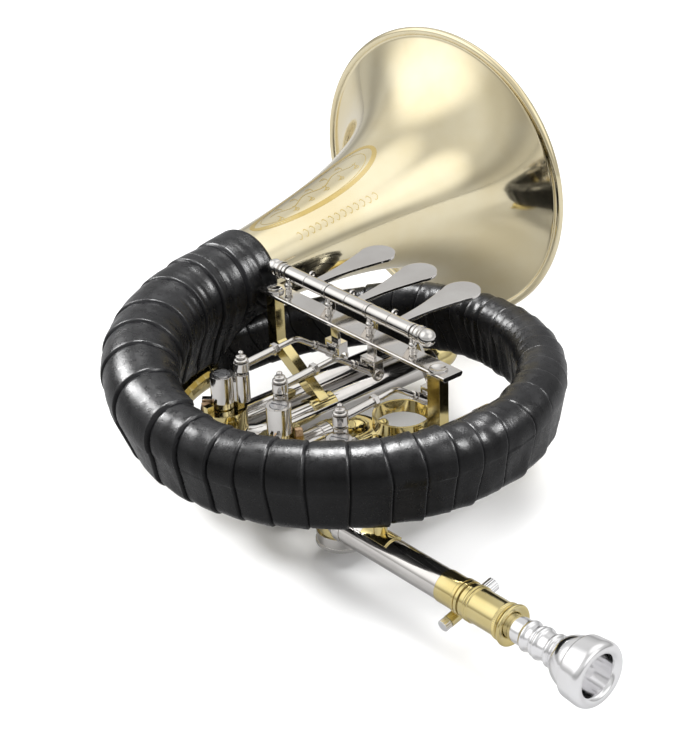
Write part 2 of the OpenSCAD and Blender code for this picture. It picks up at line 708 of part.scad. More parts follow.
// A flat post that bends over to a foot on the first valve's slide
module left_post() color(brass) place() {
    foot_x = valve_x[0] + leg_x;
    foot_top = air_z + pipe_radius + 0.9;
    half = 3.1;
    knee_z = -5;
    lean = atan2(foot_x - left_post_x, knee_z - foot_top);
    shift = half * tan(lean / 2);
    difference() {
        union() {
            translate([0, post_y + 2.6, 0]) rotate([90, 0, 0]) linear_extrude(height = 5.2)
                polygon([[left_post_x - half, plate_bottom], [left_post_x - half, knee_z - shift],
                    [foot_x - half - 3, foot_top - 0.4], [foot_x + 4, foot_top - 0.4],
                    [left_post_x + half, knee_z + shift], [left_post_x + half, plate_bottom]]);
            translate([foot_x, post_y, air_z]) rotate([0, 0, 90]) saddle(pipe_radius + 0.02, 13, 0.9, 110);
        }
        post_socket(left_post_x);
    }
}

module right_post() color(brass) place() {
    foot_top = air_z + pipe_radius + 0.9;
    difference() {
        union() {
            translate([right_post_x - 3.8, post_y - 2.6, foot_top - 0.4]) cube([7.6, 5.2, plate_bottom - foot_top + 0.4]);
            translate([right_post_x, post_y, air_z]) rotate([0, 0, 90]) saddle(pipe_radius + 0.02, 13, 0.9, 110);
        }
        post_socket(right_post_x);
    }
}

module finger_ring() color(brass) place() {
    band = 1.2;
    difference() {
        union() {
            translate([ring_x, ring_y, ring_top - ring_height]) cylinder(r = ring_bore + band, h = ring_height);
            translate([ring_x + ring_bore, post_y - 1.5, ring_top - ring_height + 1])
                cube([right_post_x - 3.85 - ring_x - ring_bore, 3, ring_height - 2]);
        }
        translate([ring_x, ring_y, ring_top - ring_height - 1]) cylinder(r = ring_bore, h = ring_height + 2);
    }
}

// ---- leadpipe and mouthpiece --------------------------------------------------------

module on_lead(x) { translate([x, lead_y, air_z]) along_x() children(); }

module leadpipe() color(nickel) place() {
    translate([lead_start_x, lead_y + elbow_radius, air_z]) difference() {
        elbow(elbow_radius, pipe_radius - 0.05, pipe_bore + 0.05, 225, 270);
        translate([valve_x[2] - lead_start_x, row_y - lead_y - elbow_radius, 0])
            cylinder(r = casing_radius, h = 40, center = true);
    }
    on_lead(lead_start_x) difference() {
        union() {
            cylinder(r = pipe_radius, h = 6);
            translate([0, 0, 4]) cylinder(r = leadpipe_radius, h = clamp_x - lead_start_x - 4);
        }
        translate([0, 0, -1]) cylinder(r = pipe_bore, h = clamp_x - lead_start_x + 2);
    }
}

module leadpipe_ferrule() color(nickel) place() {
    on_lead(lead_start_x - 0.2) pipe(leadpipe_radius + 0.35, pipe_radius + 0.02, 4.1);
}

module leadpipe_brace() color(brass) place() {
    x = 74;
    under_leather = -18.9;
    translate([x, lead_y, air_z]) {
        saddle(leadpipe_radius + 0.02, 15, 0.8, 80);
        translate([0, 0, leadpipe_radius + 0.4]) cylinder(r = 2.9, h = under_leather - air_z - leadpipe_radius - 0.4);
    }
}

// The split sleeve that grips the tuning shank, with the barrel of its cross screw
module on_clamp() { translate([119, lead_y, air_z]) rotate([14, 0, 0]) translate([0, 1.4, -9.6]) children(); }

module clamp_sleeve() color(brass) place() {
    grip = 5.6;
    difference() {
        union() {
            on_lead(clamp_x) cylinder(r = leadpipe_radius + 0.35, h = shank_x - clamp_x - 4);
            for (k = [0, 1]) on_lead(shank_x - 4 + 2 * k) cylinder(r = 7.6, h = 1.5);
            on_lead(shank_x - 4) cylinder(r = leadpipe_radius + 0.35, h = 3.6);
            on_clamp() translate([0, -9, 0]) along_y() cylinder(r = 2.6, h = 20);
            on_clamp() translate([-2, -3, 0]) cube([4, 6, 5]);
        }
        on_lead(clamp_x - 1) cylinder(r = grip + slide_fit, h = 30);
        on_clamp() translate([0, -15, 0]) along_y() cylinder(r = 1.3 + fit, h = 40);
        translate([clamp_x + 2, lead_y - 0.3, air_z - 7.6]) cube([20, 0.6, 4]);
    }
}

module clamp_screw() color(silver) place() on_clamp() {
    translate([0, -12.2, 0]) along_y() cylinder(r = 1.3, h = 26.4);
    translate([0, -12.4, 0]) along_y() knurled_disc(2.5, 3.2, 16);
    translate([0, 11.2, 0]) along_y() knurled_disc(2.9, 5.5, 18);
}

module tuning_shank() color(brass) place() {
    inner = 5.6;
    reach = 44;
    difference() {
        union() {
            on_lead(shank_x - reach) cylinder(r = pipe_bore - slide_fit, h = reach);
            on_lead(clamp_x + 0.2) cylinder(r = inner, h = shank_x - clamp_x);
            on_lead(shank_x) cylinder(r = 7.3, h = collar_x - shank_x + 0.1);
            on_lead(collar_x) cylinder(r = 7.6, h = 0.8);
            on_lead(collar_x + 0.8) knurled_disc(8.1, flange_x - collar_x - 0.8, 44);
            on_lead(flange_x) cylinder(r1 = 7.4, r2 = 8.8, h = 1.2);
            on_lead(flange_x + 1.2) cylinder(r = 8.8, h = flange_end - flange_x - 1.2);
        }
        on_lead(shank_x - reach - 1) cylinder(r = 4.3, h = 60);
        on_lead(rim_x - mouthpiece_length - 2) cylinder(r = 5 + fit, h = 40);
    }
}

module mouthpiece() color(silver) place() {
    r = mouthpiece_radius;
    l = mouthpiece_length;
    // Outside and inside, as radius against distance from the rim
    outside = [[r - 1.6, 0], [r - 0.5, 0.6], [r, 2], [r - 0.3, 5], [r - 1.3, 11], [r - 1.6, 11.6],
        [r - 2.6, 11.9], [r - 2.8, 13], [r - 3.6, 16], [r - 5.4, 19], [6.2, 21.5], [5.9, 23],
        [7.1, 24], [7.1, 25.2], [5.7, 26.4], [5.6, 28], [6.9, 29], [6.9, 30.2], [5.7, 31.4],
        [5.6, 34], [6.6, 35], [6.6, 36.2], [5, 37.4], [5, l]];
    inside = [[3.3, l], [1.9, 26], [2.2, 22], [5.2, 16], [7.6, 9], [8.6, 4], [9, 2], [9.8, 0.5], [10.8, 0]];
    translate([rim_x, lead_y, air_z]) rotate([0, -90, 0]) rotate_extrude() polygon(concat(outside, inside));
}

// ---- nodes --------------------------------------------------------------------------

bell();
bell_rim_wire();
bell_ferrule();
coil_tube();
bell_leather();
coil_leather();
outlet_tube();
valve_casing(0);  // valve_casing_1
valve_casing(1);  // valve_casing_2
valve_casing(2);  // valve_casing_3
valve_bearing(0);  // valve_bearing_1
valve_bearing(1);  // valve_bearing_2
valve_bearing(2);  // valve_bearing_3
bottom_cap(0);  // bottom_cap_1
bottom_cap(1);  // bottom_cap_2
bottom_cap(2);  // bottom_cap_3
valve_link(0);  // valve_link_12
valve_link(1);  // valve_link_23
stop_corks();
leadpipe();
leadpipe_ferrule();
leadpipe_brace();
slide_sleeve(0);  // slide_sleeve_1
slide_sleeve(1);  // slide_sleeve_2
slide_sleeve(2);  // slide_sleeve_3
bridge_plate();
plate_screws();
left_post();
right_post();
finger_ring();
hinge_posts();
lever_axle();
axle_finials();
spring_barrels();
lever_springs();
clamp_sleeve();
rotor(0);  // rotor_1
rotor(1);  // rotor_2
rotor(2);  // rotor_3
crank(0);  // crank_1
crank(1);  // crank_2
crank(2);  // crank_3
crank_screws(0);  // crank_screws_1
crank_screws(1);  // crank_screws_2
crank_screws(2);  // crank_screws_3
rod(0);  // rod_1
rod(1);  // rod_2
rod(2);  // rod_3
lever(0);  // lever_1
lever(1);  // lever_2
lever(2);  // lever_3
valve_slide(0);  // valve_slide_1
valve_slide(1);  // valve_slide_2
valve_slide(2);  // valve_slide_3
tuning_shank();
clamp_screw();
mouthpiece();
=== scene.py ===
import json
import math

import bpy
import numpy as np
from mathutils import Matrix, Vector

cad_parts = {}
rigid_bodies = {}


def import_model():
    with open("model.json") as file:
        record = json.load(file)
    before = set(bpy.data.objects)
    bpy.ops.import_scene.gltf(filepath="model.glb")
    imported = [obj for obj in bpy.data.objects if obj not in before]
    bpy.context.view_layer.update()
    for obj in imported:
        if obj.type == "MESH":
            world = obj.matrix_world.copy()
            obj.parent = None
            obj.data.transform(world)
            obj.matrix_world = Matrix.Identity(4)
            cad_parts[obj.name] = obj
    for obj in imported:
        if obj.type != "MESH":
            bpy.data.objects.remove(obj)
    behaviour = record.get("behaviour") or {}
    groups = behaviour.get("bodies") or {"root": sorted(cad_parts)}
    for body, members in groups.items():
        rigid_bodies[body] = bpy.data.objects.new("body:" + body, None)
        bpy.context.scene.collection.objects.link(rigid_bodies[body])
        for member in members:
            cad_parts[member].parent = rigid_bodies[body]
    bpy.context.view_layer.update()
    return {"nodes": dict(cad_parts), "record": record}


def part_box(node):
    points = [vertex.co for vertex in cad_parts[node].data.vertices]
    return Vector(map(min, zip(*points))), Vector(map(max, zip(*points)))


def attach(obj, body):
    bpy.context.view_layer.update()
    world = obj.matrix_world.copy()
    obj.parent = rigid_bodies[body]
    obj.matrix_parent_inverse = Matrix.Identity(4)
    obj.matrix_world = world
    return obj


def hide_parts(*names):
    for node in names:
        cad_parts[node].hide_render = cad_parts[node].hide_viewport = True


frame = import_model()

MM = 0.001
NODES = frame["nodes"]
RECORD = frame["record"]
MOUNTS = {m["name"]: m for m in RECORD["mounts"]}
MATERIAL_OF = {s["node"]: s["material_slot"] for s in RECORD["subparts"]}

# ---- sizes that the solid model is built from, in metres -------------------------------
COIL_RADIUS = 87 * MM
TURN_LENGTH = 2 * math.pi * COIL_RADIUS
BELL_LEAN = math.radians(7)
BELL_LENGTH = 173 * MM
RIM_RADIUS = 76 * MM
TAIL_RADIUS = 16.5 * MM
BELL_FLARE = 0.72
WALL = 0.8 * MM
BEAD_RADIUS = 2.1 * MM
ENGRAVING_LIFT = 0.04 * MM
WRAP_GAP = 0.9 * MM
LEATHER = 2.1 * MM
THIN_LEATHER = 0.9 * MM
THIN_START = 0.83
THIN_END = 0.89
WRAP_END = 0.994
# The wrap stops a little short of the plain sleeve's end
BARE_REACH = 30 * MM
# Height of the tube's centre line and its outside radius, against turns from the bell
TUBE_HEIGHTS = [(0, 18.7), (0.12, 13.9), (0.25, 7.5), (0.4, 7), (0.6, 7.2), (0.8, 1.5), (0.9, -7),
                (1, -9.4), (1.12, -8.2), (1.25, -9.5), (1.6, -9.4), (1.8, -12.9), (1.9, -19.4), (2, -23.8)]
TUBE_RADII = [(0, 16.5), (0.12, 14.5), (0.25, 10.6), (0.4, 9.8), (0.6, 8.2), (0.8, 6.6), (1, 5.8), (2, 5.8)]

# ---- places worked out from the frame --------------------------------------------------
MOUTH = Vector(MOUNTS["bell_mouth"]["pos_m"])
BELL_AXIS = Vector(MOUNTS["bell_mouth"]["axis"]).normalized()
BELL_RISE = math.asin(BELL_AXIS.z)
TAIL = MOUTH - BELL_LENGTH * BELL_AXIS
COIL_START = math.pi + BELL_LEAN
COIL_CENTRE = TAIL - COIL_RADIUS * Vector((math.cos(COIL_START), math.sin(COIL_START), 0))
COIL_CENTRE.z = TAIL.z - TUBE_HEIGHTS[0][1] * MM


# ---- meshes ----------------------------------------------------------------------------
def new_mesh(name, points, faces, material, body="horn"):
    mesh = bpy.data.meshes.new(name)
    mesh.from_pydata([tuple(p) for p in points], [], faces)
    mesh.update()
    mesh.polygons.foreach_set("use_smooth", [True] * len(mesh.polygons))
    mesh.materials.append(MATERIALS[material])
    piece = bpy.data.objects.new(name, mesh)
    bpy.context.scene.collection.objects.link(piece)
    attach(piece, body)
    return piece


def grid_faces(rows, columns, close_rows=False):
    """Quads of a grid whose columns close on themselves, and its rows too if asked."""
    i, j = np.meshgrid(np.arange(rows if close_rows else rows - 1), np.arange(columns), indexing="ij")
    a = i * columns + j
    b = i * columns + (j + 1) % columns
    c = ((i + 1) % rows) * columns + (j + 1) % columns
    d = ((i + 1) % rows) * columns + j
    return np.stack([a, b, c, d], axis=-1).reshape(-1, 4).tolist()


def axis_frame(axis):
    axis = Vector(axis).normalized()
    side = axis.cross(Vector((0, 0, 1)))
    side = side.normalized() if side.length > 1e-4 else Vector((1, 0, 0))
    return axis, side, axis.cross(side)


def lathe(name, profile, centre, axis, material, body="horn", segments=96, ridges=None):
    """Turns a closed outline of (radius, distance along the axis) round the axis."""
    axis, side, up = axis_frame(axis)
    angles = np.linspace(0, 2 * math.pi, segments, endpoint=False)
    r = np.array([p[0] for p in profile])
    d = np.array([p[1] for p in profile])
    radius = r[:, None] * np.ones(segments)
    if ridges:
        radius = ridges(radius, d[:, None], angles[None, :])
    points = (np.array(centre) + d[:, None, None] * np.array(axis)
              + (radius * np.cos(angles))[:, :, None] * np.array(side)
              + (radius * np.sin(angles))[:, :, None] * np.array(up))
    return new_mesh(name, points.reshape(-1, 3), grid_faces(len(profile), segments, True), material, body)


def rounded(outline, passes=3, cut=0.25):
    """A closed outline with its corners cut off again and again, which rounds them."""
    p = np.array(outline, float)
    for _ in range(passes):
        q = np.roll(p, -1, axis=0)
        p = np.stack([p + cut * (q - p), q - cut * (q - p)], axis=1).reshape(-1, 2)
    return p


def smooth_lookup(table, x):
    """The smooth curve through a table's pairs, as the solid model draws it."""
    xs = np.array([p[0] for p in table], float)
    ys = np.array([p[1] for p in table], float) * MM
    x = np.asarray(x, float)
    i = np.clip(np.searchsorted(xs, x, side="right") - 1, 0, len(xs) - 2)
    low, high = np.maximum(np.arange(len(xs)) - 1, 0), np.minimum(np.arange(len(xs)) + 1, len(xs) - 1)
    slope = (ys[high] - ys[low]) / (xs[high] - xs[low])
    h = xs[i + 1] - xs[i]
    u = (x - xs[i]) / h
    return ((2 * u**3 - 3 * u**2 + 1) * ys[i] + (u**3 - 2 * u**2 + u) * h * slope[i]
            + (3 * u**2 - 2 * u**3) * ys[i + 1] + (u**3 - u**2) * h * slope[i + 1])


FLARE_RATIO = (TAIL_RADIUS / RIM_RADIUS) ** (1 / BELL_FLARE)
FLARE_OFFSET = BELL_LENGTH * FLARE_RATIO / (1 - FLARE_RATIO)


def bell_radius(d):
    return RIM_RADIUS * (FLARE_OFFSET / (d + FLARE_OFFSET)) ** BELL_FLARE


def tube_z(t):
    return np.where(t < 0, TUBE_HEIGHTS[0][1] * MM - t * TURN_LENGTH * math.sin(BELL_RISE),
                    smooth_lookup(TUBE_HEIGHTS, np.maximum(t, 0)))


def tube_r(t):
    return np.where(t < 0, bell_radius(np.maximum(BELL_LENGTH + t * TURN_LENGTH, 0)),
                    smooth_lookup(TUBE_RADII, np.maximum(t, 0)))


def lattice_noise(x, y, period, seed):
    """Smooth noise from -1 to 1 that repeats in y after a whole number of cells."""
    table = np.random.default_rng(seed).uniform(-1, 1, (512, period))
    xi, yi = np.floor(x).astype(int), np.floor(y).astype(int)
    xf, yf = x - xi, y - yi
    xf, yf = xf * xf * (3 - 2 * xf), yf * yf * (3 - 2 * yf)
    a, b = table[xi % 512, yi % period], table[(xi + 1) % 512, yi % period]
    c, d = table[xi % 512, (yi + 1) % period], table[(xi + 1) % 512, (yi + 1) % period]
    return (a * (1 - xf) + b * xf) * (1 - yf) + (c * (1 - xf) + d * xf) * yf


# ---- materials -------------------------------------------------------------------------
MATERIALS = {}


class Nodes:
    """Builds one material's node tree."""

    def __init__(self, name):
        self.material = bpy.data.materials.new(name)
        self.material.use_nodes = True
        self.tree = self.material.node_tree
        self.shader = self.tree.nodes["Principled BSDF"]
        self.place = self.tree.nodes.new("ShaderNodeTexCoord").outputs["Object"]
        MATERIALS[name] = self.material

    def new(self, kind, inputs=None, **settings):
        n = self.tree.nodes.new(kind)
        for key, value in settings.items():
            setattr(n, key, value)
        for key, value in (inputs or {}).items():
            self.put(n.inputs[key], value)
        return n

    def put(self, socket, value):
        if isinstance(value, bpy.types.NodeSocket):
            self.tree.links.new(value, socket)
        else:
            socket.default_value = value

    def set(self, **values):
        for key, value in values.items():
            self.put(self.shader.inputs[key.replace("_", " ")], value)

    def stretched(self, scale):
        return self.new("ShaderNodeMapping", {"Vector": self.place, "Scale": scale}).outputs["Vector"]

    def noise(self, scale, detail=3, where=None, roughness=0.55):
        return self.new("ShaderNodeTexNoise", {"Vector": where or self.place, "Scale": scale, "Detail": detail,
                                               "Roughness": roughness}).outputs["Fac"]

    def ramp(self, value, low, high, start=0.35, end=0.65):
        n = self.new("ShaderNodeValToRGB", {"Fac": value})
        n.color_ramp.elements[0].position, n.color_ramp.elements[1].position = start, end
        n.color_ramp.elements[0].color, n.color_ramp.elements[1].color = (*low, 1), (*high, 1)
        return n.outputs["Color"]

    def span(self, value, low, high, start=0.3, end=0.7):
        return self.new("ShaderNodeMapRange", {"Value": value, "From Min": start, "From Max": end,
                                               "To Min": low, "To Max": high}).outputs["Result"]

    def math(self, operation, a, b):
        n = self.new("ShaderNodeMath", operation=operation)
        self.put(n.inputs[0], a)
        self.put(n.inputs[1], b)
        return n.outputs[0]

    def edges(self, radius):
        return self.new("ShaderNodeBevel", {"Radius": radius}, samples=6).outputs["Normal"]

    def bump(self, height, strength, distance, normal=None):
        inputs = {"Height": height, "Strength": strength, "Distance": distance}
        if normal:
            inputs["Normal"] = normal
        return self.new("ShaderNodeBump", inputs).outputs["Normal"]


def metal(name, dark, light, low_rough, high_rough, edge, lacquer=0.0, scratches=0.03):
    """Polished metal: slight colour drift, smudged polish, hairline scratches and eased edges."""
    n = Nodes(name)
    drift = n.noise(28, 4)
    smudge = n.noise(95, 5, roughness=0.65)
    hairlines = n.noise(1, 2, n.stretched((2600, 340, 900)))
    polish = n.math("ADD", n.span(smudge, low_rough, high_rough), n.span(hairlines, 0, 0.035, 0.55, 0.75))
    n.set(Base_Color=n.ramp(drift, dark, light), Metallic=1.0, Roughness=polish)
    n.set(Normal=n.bump(hairlines, scratches, 0.05 * MM, n.edges(edge)))
    if lacquer:
        n.set(Coat_Weight=lacquer, Coat_Roughness=0.03, Coat_IOR=1.5)
    return n


def make_materials():
    metal("bell_brass", (0.84, 0.73, 0.47), (0.90, 0.81, 0.57), 0.06, 0.11, 0.3 * MM, 0.3, 0.01)
    metal("brass", (0.66, 0.54, 0.23), (0.78, 0.67, 0.35), 0.06, 0.13, 0.3 * MM, 0.2)
    metal("nickel_silver", (0.66, 0.63, 0.60), (0.76, 0.74, 0.71), 0.05, 0.12, 0.3 * MM)
    metal("silver_plate", (0.86, 0.85, 0.85), (0.94, 0.94, 0.95), 0.07, 0.15, 0.4 * MM)
    metal("steel", (0.50, 0.50, 0.51), (0.63, 0.63, 0.64), 0.16, 0.28, 0.15 * MM, scratches=0.1)
    metal("engraved_brass", (0.70, 0.53, 0.20), (0.84, 0.67, 0.32), 0.30, 0.42, 0.05 * MM)

    n = Nodes("leather_wrap")
    cells = n.new("ShaderNodeTexVoronoi", {"Vector": n.place, "Scale": 1150.0}, feature="SMOOTH_F1")
    grain = cells.outputs["Distance"]
    pores = n.noise(3000, 2)
    creases = n.noise(300, 5, roughness=0.7)
    edge_tone = n.new("ShaderNodeAttribute", attribute_name="edge_tone").outputs["Fac"]
    # Painted shade: the grooves between strap turns lose almost all their specular, so they render darker
    seam_shade = n.new("ShaderNodeAttribute", attribute_name="seam_shade").outputs["Fac"]
    # The colour is lighter along each strap turn's falling edge
    tone = n.ramp(n.math("ADD", n.noise(60, 4), n.math("MULTIPLY", edge_tone, 0.35)),
                  (0.0012, 0.0012, 0.0014), (0.009, 0.009, 0.0095), 0.45, 1.0)
    fine = n.math("ADD", n.math("MULTIPLY", pores, 0.25), creases)
    skin = n.math("ADD", n.math("MULTIPLY", grain, 0.6), fine)
    n.set(Base_Color=tone, Roughness=n.span(creases, 0.22, 0.38), Normal=n.bump(skin, 0.42, 0.14 * MM),
          Specular_IOR_Level=n.span(seam_shade, 0.20, 0.02, 0.1, 0.8))

    n = Nodes("cork")
    cells = n.new("ShaderNodeTexVoronoi", {"Vector": n.place, "Scale": 1500.0}).outputs["Distance"]
    n.set(Base_Color=n.ramp(n.noise(800, 4), (0.33, 0.20, 0.11), (0.62, 0.44, 0.27)), Roughness=0.85,
          Normal=n.bump(cells, 0.6, 0.1 * MM))

    n = Nodes("floor")
    seen = n.new("ShaderNodeLightPath").outputs["Is Camera Ray"]
    n.set(Base_Color=n.ramp(n.math("ADD", seen, n.math("MULTIPLY", n.noise(3, 3), 0.05)), (0.42, 0.42, 0.425),
                            (0.93, 0.93, 0.93), 0.0, 1.0), Roughness=0.6, Specular_IOR_Level=0.1)


def dress_cad_nodes():
    for name, piece in NODES.items():
        piece.data.materials.clear()
        piece.data.materials.append(MATERIALS[MATERIAL_OF[name]])


# ---- leather wrap ----------------------------------------------------------------------
def leather_at(t):
    thin = min(max((t - THIN_START) / (THIN_END - THIN_START), 0), 1)
    return LEATHER - (LEATHER - THIN_LEATHER) * thin


def ring_outline(t, share):
    """Points and outward directions on a section, as (sideways, up), at shares of the way round.
    The section is a loop drawn tight round both turns of the coil; up the bell's tail the lower
    turn's circle is drawn back into the upper one's."""
    r_top, z_top = tube_r(t) + WRAP_GAP, tube_z(t)
    r_low, z_low = tube_r(min(t, WRAP_END) + 1) + WRAP_GAP, tube_z(min(t, WRAP_END) + 1)
    down = min(max(t / 0.03 + 1, 0), 1)
    down = down * down * (3 - 2 * down)
    r_low = r_top - 0.5 * MM + (r_low - r_top + 0.5 * MM) * down
    z_low = z_top - 0.6 * MM + (z_low - z_top + 0.6 * MM) * down
    gap = z_top - z_low
    lean = math.asin((r_top - r_low) / gap)
    straight = gap * math.cos(lean)
    parts = np.array([r_top * (math.pi + 2 * lean), straight, r_low * (math.pi - 2 * lean), straight])
    ends = np.cumsum(parts)
    way = share * ends[-1]
    a1 = -lean + way / r_top
    f2 = (way - ends[0]) / straight
    a3 = math.pi + lean + (way - ends[1]) / r_low
    f4 = (way - ends[2]) / straight
    left, right = math.pi + lean, -lean
    x = np.select([way < ends[0], way < ends[1], way < ends[2]],
                  [r_top * np.cos(a1), (r_top + (r_low - r_top) * f2) * math.cos(left), r_low * np.cos(a3)],
                  (r_low + (r_top - r_low) * f4) * math.cos(right))
    z = np.select([way < ends[0], way < ends[1], way < ends[2]],
                  [z_top + r_top * np.sin(a1), z_top + r_top * math.sin(left)
                   + f2 * (z_low - z_top + (r_low - r_top) * math.sin(left)), z_low + r_low * np.sin(a3)],
                  z_low + r_low * math.sin(right) + f4 * (z_top - z_low + (r_top - r_low) * math.sin(right)))
    a = np.select([way < ends[0], way < ends[1], way < ends[2]],
                  [a1, np.full_like(way, left), a3], np.full_like(way, right))
    return x, z, np.cos(a), np.sin(a)


def sleeve_ring(t, share, thickness):
    """A ring of points round the coil, each standing a thickness off the section there."""
    x, z, nx, nz = ring_outline(t, share)
    x, z = x + nx * thickness, z + nz * thickness
    angle = COIL_START + 2 * math.pi * max(t, 0)
    radial = np.array((math.cos(angle), math.sin(angle), 0))
    back = min(t, 0) * TURN_LENGTH * np.array((math.sin(BELL_LEAN), -math.cos(BELL_LEAN), 0))
    base = np.array(COIL_CENTRE) + COIL_RADIUS * radial + back
    return base + x[:, None] * radial + z[:, None] * np.array((0, 0, 1))


def wrap_height(t, share, inner_side, seed):
    """Height of the wound strap over the plain sleeve, how much lighter its colour is along each turn's edge, and
    how deep in the groove between turns it is, for painted shade there.
    """
    s = t * TURN_LENGTH
    turns = np.interp(t, [-0.08, -0.02, 0.22, 0.45, 1.0], [0.02, 1, 8.2, 16.9, 41.9])
    drift = 0.24 * np.sin(s / (31 * MM)) + 0.16 * np.sin(s / (13.7 * MM) + 1.1)
    wobble = 0.13 * lattice_noise(s / (14 * MM) + 40, share * 5, 5, seed)
    # The strap crosses over to its next turn underneath the bell, and further on towards the coil's middle
    over = np.clip((share - np.interp(t, [0, 0.15], [0.6, 0.28])) / 0.36, 0, 1)
    phase = turns + (drift + wobble) * np.clip((t + 0.01) / 0.06, 0, 1) + over * over * (3 - 2 * over)
    across = phase - np.floor(phase)
    width = 0.05
    drop = np.clip((across - (1 - width)) / width, 0, 1)
    step = np.minimum(across / (1 - width) * (1 - drop * drop * (3 - 2 * drop)), 1)
    groove = np.exp(-((across / 0.04) ** 2)) + np.exp(-(((1 - across) / 0.025) ** 2))
    turn = np.floor(phase).astype(int)
    tuck = np.random.default_rng(seed + 9).uniform(0.6, 1.3, 600)[turn % 600]
    folds = lattice_noise(s / (2.6 * MM) + 2.5 * share + 80, share * 4, 4, seed + 1)
    sags = lattice_noise(s / (8 * MM) + 80, share * 6, 6, seed + 2)
    loose = np.clip(lattice_noise(s / (45 * MM) + 80, share * 2, 2, seed + 3) * 1.6, 0, 1)
    ripples = lattice_noise(s / (4.2 * MM) + 5 * share + 80, share * 8, 8, seed + 4)
    height = 0.95 * MM * step * tuck - 0.36 * MM * groove
    past_bell = np.clip((t - 0.02) / 0.1, 0, 1)
    height += (0.04 + 0.36 * inner_side) * MM * folds + 0.2 * MM * sags
    height += 0.34 * MM * loose * ripples * past_bell
    # Returned: the height, the lighter colour along each turn's edge, and the groove depth that the leather's
    # material turns into painted shade
    return height, np.clip(drop + 0.5 * (across > 0.9), 0, 1), np.clip(groove, 0, 1)


def leather_sleeve(name, node, first, last, seed, open_first, open_last):
    spacing = 0.4 * MM
    columns = 176
    rows = int((last - first) * TURN_LENGTH / spacing)
    share = np.arange(columns) / columns
    rings, edge_tones, seam_shades = [], [], []
    for t in np.linspace(first, last, rows).tolist():
        inner_side = np.clip(-ring_outline(t, share)[2], 0, 1) ** 1.5
        reach = min(t - first if open_first else 1, last - t if open_last else 1) * TURN_LENGTH
        end = math.sqrt(min(1, reach / (2.2 * MM)))
        height, edge_tone, seam_shade = wrap_height(t, share, inner_side, seed)
        body = leather_at(t)
        height *= end * (0.4 + 0.6 * (body - THIN_LEATHER) / (LEATHER - THIN_LEATHER))
        lift = 0.15 * MM + (body - 0.75 * MM) * end + np.maximum(height, -0.6 * MM)
        rings.append(sleeve_ring(t, share, lift))
        edge_tones.append(edge_tone)
        seam_shades.append(seam_shade)
    rings += [sleeve_ring(t, share, 0) for t in (last, first)]
    piece = new_mesh(name, np.concatenate(rings), grid_faces(rows + 2, columns, True), "leather_wrap")
    # Per-point values for the leather's material: its lighter edge colour and its painted shade in the grooves
    # between turns
    for label, values in (("edge_tone", edge_tones), ("seam_shade", seam_shades)):
        layer = piece.data.attributes.new(label, "FLOAT", "POINT")
        layer.data.foreach_set("value", np.concatenate(values + [np.zeros(2 * columns)]).astype(np.float32))
    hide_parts(node)
    return piece


# ---- bell ------------------------------------------------------------------------------
def bell_slope(d):
    return BELL_FLARE * bell_radius(d) / (d + FLARE_OFFSET)


def make_bell():
    """The flare as one spun sheet, with its edge rolled back over the rim wire."""
    steps = 110
    d = BELL_LENGTH * (np.arange(steps + 1) / steps) ** 1.7
    n = np.sqrt(1 + bell_slope(d) ** 2)
    outside = [(bell_radius(x), -x) for x in d[::-1] if x > 1.2 * MM]
    roll = [(RIM_RADIUS + BEAD_RADIUS * math.cos(a), BEAD_RADIUS * math.sin(a))
            for a in np.radians(np.arange(-150, 141, 10))]
    inside = [(bell_radius(x) - WALL / m, -x + WALL * bell_slope(x) / m)
              for x, m in zip(d, n) if x > 1.0 * MM]
    piece = lathe("bell_flare", outside + roll + inside, MOUTH, BELL_AXIS, "bell_brass", segments=256)
    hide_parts("bell")


def bell_point(d, angle, lift):
    """A point on the outside of the bell, lifted off it, at a distance from the rim and a place round it."""
    axis, side, up = (np.array(v) for v in axis_frame(BELL_AXIS))
    slope = bell_slope(d)
    m = math.sqrt(1 + slope * slope)
    out = math.cos(angle) * side + math.sin(angle) * up
    return np.array(MOUTH) - d * axis + bell_radius(d) * out + lift * (out + slope * axis) / m


def stroke(points, width, closed=False):
    """A ribbon along (distance, angle) points on the bell, in corners and faces."""
    p = np.array(points, float)
    n = len(p)
    before, after = (np.roll(p, 1, 0), np.roll(p, -1, 0)) if closed else (
        np.vstack([p[:1], p[:-1]]), np.vstack([p[1:], p[-1:]]))
    widths = np.broadcast_to(width, n) if closed or np.ndim(width) else width * np.sin(
        np.clip(np.linspace(0, math.pi, n), 0.35, math.pi - 0.35)) ** 0.5
    corners = []
    for k in range(n):
        r = bell_radius(p[k][0])
        along = np.array([after[k][0] - before[k][0], (after[k][1] - before[k][1]) * r])
        along /= np.linalg.norm(along) + 1e-12
        for sign in (1, -1):
            d = p[k][0] - sign * along[1] * widths[k] / 2
            a = p[k][1] + sign * along[0] * widths[k] / 2 / r
            corners.append(bell_point(d, a, ENGRAVING_LIFT))
    count = n if closed else n - 1
    return corners, [(2 * k, 2 * k + 1, (2 * k + 3) % (2 * n), (2 * k + 2) % (2 * n)) for k in range(count)]


